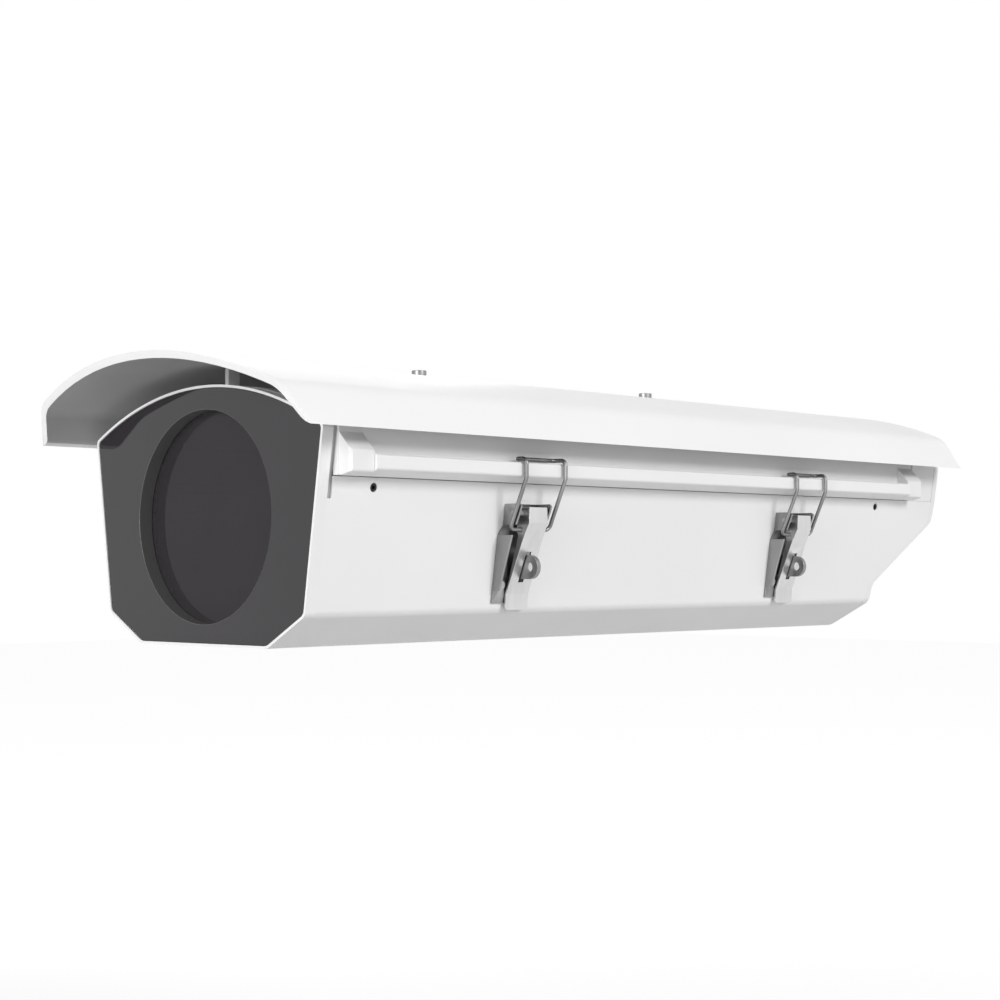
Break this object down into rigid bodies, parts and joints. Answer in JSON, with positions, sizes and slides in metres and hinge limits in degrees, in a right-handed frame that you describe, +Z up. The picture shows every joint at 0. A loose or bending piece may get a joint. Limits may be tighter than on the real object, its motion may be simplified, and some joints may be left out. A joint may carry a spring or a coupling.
{
  "type": "security camera housing",
  "caption": "Outdoor camera housing with a hinged lid, full-length sunshield, round front window, side toggle latches and cable glands.",
  "frame": {"origin": "centre of the bracket hole pattern on the flat underside", "axes": "+Z up, -Y out of the window, +X towards the latches"},
  "size_m": [0.1844, 0.493, 0.1246],
  "materials": {
    "white_coat": "satin white powder coat",
    "white_trim": "satin white paint on die castings",
    "dark_mask": "glossy dark plate",
    "window": "flat glass with a light grey tint",
    "rubber": "matt black rubber",
    "seal_grey": "grey silicone strip",
    "stainless": "brushed stainless sheet and wire",
    "steel_dull": "dull grey steel sheet and wire",
    "dark_screw": "dark passivated steel",
    "nylon": "matt black nylon",
    "zinc": "zinc-plated steel",
    "alloy": "plain aluminium sheet"
  },
  "bodies": {
    "housing": {"body_tub": "white_coat", "rear_hood": "white_coat", "front_bezel": "white_trim", "bezel_screws": "dark_screw", "window_mask": "dark_mask", "glass_gasket": "rubber", "window_glass": "window", "glass_retainer": "alloy", "rear_cap": "white_trim", "rear_cap_screws": "dark_screw", "cable_gland_left": "nylon", "gland_cap_left": "nylon", "cable_gland_middle": "nylon", "gland_cap_middle": "nylon", "cable_gland_right": "nylon", "gland_cap_right": "nylon", "gland_seals": "rubber", "gland_locknuts": "nylon", "lid_seal": "seal_grey", "hinge_leaf_front": "stainless", "hinge_leaf_rear": "stainless", "hinge_screws": "stainless", "bracket_plate": "alloy", "camera_tray": "zinc", "tray_standoffs": "zinc", "tray_screws": "zinc", "latch_base_front": "steel_dull", "latch_pin_front": "steel_dull", "latch_base_rear": "steel_dull", "latch_pin_rear": "steel_dull", "latch_rivets": "steel_dull"},
    "lid": {"lid_cover": "white_coat", "lid_front_cap": "white_trim", "lid_rear_cap": "white_trim", "sunshield": "white_coat", "shield_screws": "steel_dull", "shield_standoffs": "nylon", "shield_post": "white_trim", "hinge_pins": "stainless"},
    "lever_front": {"latch_lever_front": "stainless"},
    "lever_rear": {"latch_lever_rear": "stainless"},
    "bail_front": {"latch_bail_front": "steel_dull"},
    "bail_rear": {"latch_bail_rear": "steel_dull"},
    "saddle": {"camera_saddle": "alloy", "saddle_screw": "stainless"}
  },
  "joints": [
    {"name": "lid_hinge", "type": "hinge", "parent": "housing", "child": "lid", "pos_m": [-0.0815, 0.01, 0.0741], "axis": [0, -1, 0], "range_deg": [0, 90]},
    {"name": "lever_front_pivot", "type": "hinge", "parent": "housing", "child": "lever_front", "pos_m": [0.078, -0.0817, 0.0561], "axis": [0, -1, 0], "range_deg": [0, 110]},
    {"name": "lever_rear_pivot", "type": "hinge", "parent": "housing", "child": "lever_rear", "pos_m": [0.078, 0.1183, 0.0561], "axis": [0, -1, 0], "range_deg": [0, 110]},
    {"name": "bail_front_pivot", "type": "hinge", "parent": "lever_front", "child": "bail_front", "pos_m": [0.077, -0.0817, 0.0489], "axis": [0, -1, 0], "range_deg": [-132, 0]},
    {"name": "bail_rear_pivot", "type": "hinge", "parent": "lever_rear", "child": "bail_rear", "pos_m": [0.077, 0.1183, 0.0489], "axis": [0, -1, 0], "range_deg": [-132, 0]},
    {"name": "saddle_slide", "type": "slide", "parent": "housing", "child": "saddle", "axis": [0, 1, 0], "range_m": [-0.09, 0.09]}
  ],
  "couplings": [
    {"joint": "bail_front_pivot", "follows": "lever_front_pivot", "ratio": -1.2},
    {"joint": "bail_rear_pivot", "follows": "lever_rear_pivot", "ratio": -1.2}
  ]
}
